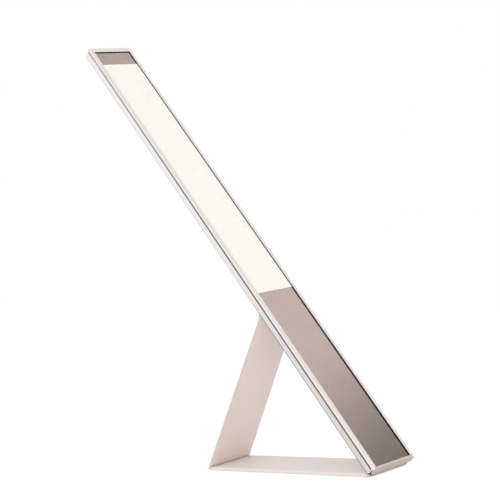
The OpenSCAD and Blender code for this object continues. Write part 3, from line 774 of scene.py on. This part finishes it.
def back_tray():
    """A fine grey line of painted shade runs along the tray's back edge, and its corners at the foot are painted
    near black as shade in a recess."""
    rows = [(0, s) for s in sorted({round(spot[0], 2) for spot in middles("case_screws", ON_PANEL)})]
    shape = take("back_shell", ON_PANEL, [(0, SHADE_END), (2, LINE_TOP), *MIDDLE, *rows])
    soften(shape, TRAY_BACK_ROUND, at_height(0))
    soften(shape, TRAY_SEAM_ROUND, at_height(SHELL_H))
    for face in shape.faces:
        spot = face.calc_center_median()
        upright = abs(face.normal.z) < LEVEL_SHARE
        # Faces low on the back edge take the grey line of painted shade
        if upright and spot.z < LINE_TOP and depth(spot) < LINE_DEPTH:
            face.material_index = 1
        # Corners at the foot are painted near black as shade
        corner = spot.z < SHADE_TOP and abs(spot.y) > RELIEF_Y - TOL
        if corner and (spot.x < SHADE_END or spot.x < RELIEF_END + TOL and spot.z < CAP_LOW + TOL):
            face.material_index = 2
    make_piece("back_tray", shape, ON_PANEL, "back_shell", edge_shade, near_black)


def face_frame():
    """The frame's lip wall is near black beside the glass. Its lower rounding takes the seal's grey as painted
    shade, and the rim at its foot is painted up to the corners in a darker coat as painted shade."""
    shape = take("front_frame", ON_PANEL, [(0, FOOT_RIM), (1, -RIM_HALF), (1, RIM_HALF), *MIDDLE])
    soften(shape, FRAME_ROUND, at_height(PANEL_T, foot=0))
    soften(shape, FRAME_LIP_ROUND, at_height(PANEL_T, inner=True, foot=0))
    # The lower rounding takes the seal's grey: painted shade along the seam
    for face in soften(shape, FRAME_SEAM_ROUND, at_height(FRAME_LOW)):
        if face.calc_center_median().x > FOOT_RIM:
            face.material_index = 2
    # Deep faces of the lip are near black; the foot rim takes a darker coat, painted shade of the foot
    for face in shape.faces:
        spot = face.calc_center_median()
        if depth(spot) > LIP_DEPTH and spot.z < PANEL_T - 2 * TOL:
            face.material_index = 1
        elif spot.x < FOOT_RIM and abs(spot.y) < RIM_HALF:
            face.material_index = 3
    make_piece("face_frame", shape, ON_PANEL, "front_frame", near_black, finishes["seam_rubber"], foot_rim_shade_coat)


def seam_seal():
    """The seal's outer face is rounded. At the foot it takes the metal look of the frame's corners,
    which close the seam's ends in the photograph."""
    shape = take("frame_gasket", ON_PANEL, [(0, FOOT_RIM), *MIDDLE])
    soften(shape, SEAL_ROUND, lambda edge: all(depth(v.co) < SEAL_DEPTH for v in edge.verts))
    for face in shape.faces:
        if face.calc_center_median().x < FOOT_RIM:
            face.material_index = 1
    make_piece("seam_seal", shape, ON_PANEL, "frame_gasket", finishes["frame_aluminium"])


def front_glass():
    """The glass stands a hair clear of the print behind it, so that the two faces don't coincide."""
    clear = 0.02
    shape = take("cover_glass", ON_PANEL)
    for v in shape.verts:
        if v.co.z < GLASS_LOW + TOL:
            v.co.z += clear
    make_piece("front_glass", shape, ON_PANEL, "cover_glass")


def side_fittings():
    """The button and the charging socket on the far side, with the socket's tongue and contacts."""
    def outer(edge):
        return all(v.co.y < FACE_Y + TOL for v in edge.verts)

    shape = take("power_button", ON_PANEL)
    soften(shape, BUTTON_ROUND, outer)
    make_piece("side_button", shape, ON_PANEL, "power_button")

    shape = take("usb_socket", ON_PANEL)
    soften(shape, SOCKET_ROUND, outer)
    make_piece("socket_shell", shape, ON_PANEL, "usb_socket")

    shape = take("usb_tongue", ON_PANEL)
    along, _, middle = middles("usb_tongue", ON_PANEL)[0]
    tip = min(v.co.y for v in shape.verts)
    half = max(v.co.z for v in shape.verts) - middle
    soften(shape, TONGUE_ROUND, lambda edge: all(v.co.y < tip + TOL for v in edge.verts))
    back = tip + CONTACT_BACK + CONTACT_SIZE[1] / 2
    size = Matrix.Diagonal((*CONTACT_SIZE, 1))
    for side in (-1, 1):
        for i in range(CONTACTS):
            across = along + (i - (CONTACTS - 1) / 2) * CONTACT_PITCH
            place = Matrix.Translation((across, back, middle + side * half))
            contact = bmesh.ops.create_cube(shape, size=1, matrix=place @ size)["verts"]
            for face in {face for v in contact for face in v.link_faces}:
                face.material_index = 1
    make_piece("socket_tongue", shape, ON_PANEL, "usb_tongue", gold)


def screws(name, node, low):
    """Countersunk screws with a hexagonal socket, at the middles of the CAD's own. Each is a closed
    solid through rings, from the socket's floor over the head and the thread to the tip."""
    turns = [2 * math.pi * i / RING_POINTS for i in range(RING_POINTS)]
    flat = math.pi / 3

    def ring(x, y, h, radius):
        return [(x + radius * math.cos(a), y + radius * math.sin(a), h) for a in turns]

    def hexagon(x, y, h, radius):
        radii = [radius / math.cos(a % flat - flat / 2) for a in turns]
        return [(x + r * math.cos(a), y + r * math.sin(a), h) for a, r in zip(turns, radii)]

    shape = bmesh.new()
    for x, y, _ in middles(node, ON_PANEL):
        rings = [hexagon(x, y, low + deep, radius) for deep, radius in (SOCKET_FLOOR, SOCKET_WALL)]
        rings += [ring(x, y, low + deep, radius)
                  for deep, radius in (SOCKET_MOUTH, FACE_EDGE, HEAD_EDGE, CONE_END)]
        for i in range(int((SHANK_END - HEAD_H - THREAD_ROOM) / THREAD_PITCH)):
            h = low + HEAD_H + THREAD_START + THREAD_PITCH * i
            rings += [ring(x, y, h, CREST_R), ring(x, y, h + CREST_TO_ROOT, ROOT_R)]
        rings += [ring(x, y, SHANK_END - TIP_LEN, ROOT_R), ring(x, y, SHANK_END, TIP_R)]
        loft(shape, rings)
    bmesh.ops.recalc_face_normals(shape, faces=shape.faces)
    make_piece(name, shape, ON_PANEL, node)


def hinge_pins():
    """Each pin's ends are domed, and painted over with the plate that holds them."""
    plans = [("foot_pin", "foot_hinge_pin", ON_WORLD, "base_paint"),
             ("leaf_pin", "leaf_hinge_pin", ON_PANEL, "leaf_paint")]
    for name, node, place, paint in plans:
        shape = take(node, place)
        end = max(v.co.y for v in shape.verts)
        soften(shape, PIN_ROUND, lambda edge: all(abs(v.co.y) > end - TOL for v in edge.verts))
        for face in shape.faces:
            if abs(face.calc_center_median().y) > end - PAINTED_END:
                face.material_index = 1
        make_piece(name, shape, place, node, finishes[paint])


def runs_along(edge):
    """Chooses edges that run along a plate, and not those that only cross a corner or a hole."""
    return abs(edge.verts[0].co.x - edge.verts[1].co.x) > ALONG_LEAST


def runs_across(edge):
    """Chooses edges that run across a plate, and not the short ones of a round hole."""
    return edge.calc_length() > ACROSS_LEAST and not runs_along(edge)


def leaf_plate():
    """The leaf narrows towards its hinge. Its long edges are well rounded, its sides are painted darker as painted
    shade, and the edges across it are broken."""
    def half_width(x):
        share = (x - BARREL_R) / (LEAF_LEN - PLATE_HALF_T - BARREL_R)
        return LEAF_TOP_HALF + (PANEL_HALF - LEAF_TOP_HALF) * min(share, 1)

    def on_side(edge):
        ends = [v.co for v in edge.verts]
        if all(end.x > LEAF_SIDE_START and abs(end.y) > half_width(end.x) - TOL for end in ends):
            return True
        return runs_along(edge) and all(
            end.x > LEAF_AXIS_PAST and abs(end.y) > LEAF_TOP_HALF - TOL for end in ends)

    shape = take("support_leaf", ON_LEAF, [(0, LEAF_BODY), (0, LEAF_FOOT)])
    soften(shape, LEAF_SIDE_ROUND, on_side)
    soften(shape, PLATE_END_ROUND,
           lambda edge: runs_across(edge) and all(v.co.x > LEAF_BARREL_PAST for v in edge.verts))
    # Faces on the sides take the darker coat of painted shade
    for face in shape.faces:
        if abs(face.normal.y) > PLATE_SHARE:
            face.material_index = 1
    make_piece("stand_leaf", shape, ON_LEAF, "support_leaf", leaf_side_shade_coat)


def base_plate():
    """The base plate's long edges are well rounded and the edges across it broken. Its latching end, at the crease
    with the leaf, is painted dark as painted shade."""
    pockets = [(1, y) for _, y, _ in middles("base_magnets", ON_WORLD)]
    shape = take("base_plate", ON_WORLD, [(0, BASE_LATCH), (0, BASE_HINGE), *pockets])
    latch = min(v.co.x for v in shape.verts) + LATCH_END
    rounded = soften(shape, LATCH_ROUND, lambda edge: all(
        v.co.x < latch and v.co.z > BASE_UPPER for v in edge.verts))
    # The latching end's rounding takes the dark coat of painted shade
    for face in rounded:
        face.material_index = 1
    soften(shape, BASE_SIDE_ROUND, lambda edge: edge.calc_length() > WIDTH_LEAST or (
        runs_along(edge) and all(abs(v.co.y) > PANEL_HALF - TOL for v in edge.verts)))
    soften(shape, PLATE_END_ROUND,
           lambda edge: runs_across(edge) and all(v.co.x < BASE_HINGE for v in edge.verts))
    # The latching end's face takes the dark coat of painted shade too
    for face in shape.faces:
        if face.normal.x < -PLATE_SHARE and face.calc_center_median().x < latch:
            face.material_index = 1
    make_piece("stand_base", shape, ON_WORLD, "base_plate", crease_shade_coat)


def foot_plate():
    """The plate's cap closes the panel's foot: its outer edges are well rounded. Its lower corners are painted
    near black as shade in a recess."""
    shape = take("foot_hinge_plate", ON_PANEL, [(2, SHADE_TOP)])
    front = min(v.co.x for v in shape.verts)
    soften(shape, CAP_ROUND, lambda edge: all(
        v.co.x < front + TOL and v.co.z > CAP_LOW - TOL for v in edge.verts))
    soften(shape, CAP_BREAK, long_edge(CAP_LEAST))
    # Sides low at the foot are painted near black as shade
    for face in shape.faces:
        spot = face.calc_center_median()
        on_side = abs(spot.y) > PANEL_HALF - SHADE_SIDE and abs(face.normal.y) > CAP_SHARE
        if on_side and spot.z < SHADE_TOP:
            face.material_index = 1
    make_piece("hinge_plate", shape, ON_PANEL, "foot_hinge_plate", near_black)


def clip_and_pad():
    """The leaf's bracket and the pad under the base plate: their straight edges are broken."""
    plans = [("leaf_clip", "leaf_bracket", ON_PANEL, CLIP_BREAK, CLIP_LEAST),
             ("table_pad", "base_pad", ON_WORLD, PAD_BREAK, PAD_LEAST)]
    for name, node, place, rounding, least in plans:
        shape = take(node, place)
        soften(shape, rounding, long_edge(least))
        make_piece(name, shape, place, node)


# The stage and the lights

def seen_as_white(tree):
    """The light paths, and a value of 1 for each ray that sees the stage as white: the camera's
    own, and those that metal mirrors or glass lets through."""
    rays = add(tree, "LightPath").outputs
    shiny = add(tree, "Math", {0: rays["Is Glossy Ray"], 1: rays["Is Transmission Ray"]},
                operation="MAXIMUM")
    seen = add(tree, "Math", {0: rays["Is Camera Ray"], 1: shiny.outputs[0]}, operation="MAXIMUM")
    return rays, seen.outputs[0]


def white_table():
    """A table that is seen as white and keeps the lamp's soft shadow."""
    material, tree = blank("white_table")
    _, seen = seen_as_white(tree)
    share = add(tree, "Math", {0: seen, 1: TABLE_GLOW_SHARE}, operation="MULTIPLY")
    lit = add(tree, "BsdfDiffuse", {"Color": linear("#f2f0ee")})
    white = add(tree, "Emission", {"Color": linear("#ffffff"), "Strength": TABLE_GLOW})
    both = add(tree, "MixShader", {"Fac": share.outputs[0], 1: lit.outputs[0], 2: white.outputs[0]})
    add(tree, "OutputMaterial", {"Surface": both.outputs[0]})
    bpy.ops.mesh.primitive_plane_add(size=12)
    table = bpy.context.object
    table.name = "white_table"
    table.data.materials.append(material)


def white_room():
    """A room that lights the lamp softly and is seen as white. Metal and glass mirror it with a dim
    doorway and a slightly greyer ceiling, which give the dark glass its shade."""
    world = bpy.data.worlds.new("white_room")
    scene.world = world
    world.use_nodes = True
    tree = world.node_tree
    tree.nodes.clear()
    rays, seen = seen_as_white(tree)
    room = add(tree, "Background", {"Color": linear("#fbf9f7"), "Strength": ROOM_LIGHT})
    way = add(tree, "TexCoord").outputs["Generated"]
    beside = add(tree, "VectorMath", {0: way, 1: DOORWAY}, operation="DOT_PRODUCT").outputs["Value"]
    doorway = add(tree, "MapRange", {
        "Value": beside, "From Min": DOORWAY_EDGE, "From Max": DOORWAY_CORE,
        "To Min": 1, "To Max": DOORWAY_LEVEL}, interpolation_type="SMOOTHSTEP")
    height = add(tree, "SeparateXYZ", {"Vector": way}).outputs["Z"]
    ceiling = add(tree, "MapRange", {
        "Value": height, "From Min": CEILING_LOW, "From Max": CEILING_HIGH,
        "To Min": 1, "To Max": CEILING_LEVEL}, interpolation_type="SMOOTHSTEP")
    mirrored = add(tree, "Math", {0: doorway.outputs["Result"], 1: ceiling.outputs["Result"]},
                   operation="MULTIPLY")
    level = add(tree, "Mix", {"Factor": rays["Is Glossy Ray"], 2: 1, 3: mirrored.outputs[0]})
    white = add(tree, "Background", {"Color": linear("#ffffff"), "Strength": level.outputs[0]})
    both = add(tree, "MixShader", {"Fac": seen, 1: room.outputs[0], 2: white.outputs[0]})
    add(tree, "OutputWorld", {"Surface": both.outputs[0]})


def hang_light(name, place, target, size, watts):
    """A square soft box that faces the target. It shows neither in metal nor through glass."""
    data = bpy.data.lights.new(name, "AREA")
    data.size = size
    data.energy = watts
    light = bpy.data.objects.new(name, data)
    light.location = place
    light.rotation_euler = (Vector(target) - Vector(place)).to_track_quat("-Z", "Y").to_euler()
    light.visible_glossy = False
    light.visible_transmission = False
    scene.collection.objects.link(light)


def finish_nodes():
    """Gives each CAD node that stays the finish of its slot."""
    for node, shown in frame["nodes"].items():
        shown.material_slots[0].material = finishes[slot_of[node]]


place_camera()
finish_nodes()
back_tray()
face_frame()
seam_seal()
front_glass()
side_fittings()
screws("tray_screws", "case_screws", 0)
screws("clip_screws", "bracket_screws", CLIP_SCREW_LOW)
hinge_pins()
leaf_plate()
base_plate()
foot_plate()
clip_and_pad()
white_table()
white_room()
hang_light("key_box", place=(0.5, -1.1, 1.3), target=(0, 0, 0.1), size=1.2, watts=8)
hang_light("fill_box", place=(-1.2, -0.4, 0.9), target=(0, 0, 0.15), size=1.2, watts=3)
hang_light("low_box", place=(1.1, -0.75, 0.3), target=(0, 0, 0.06), size=0.8, watts=4)
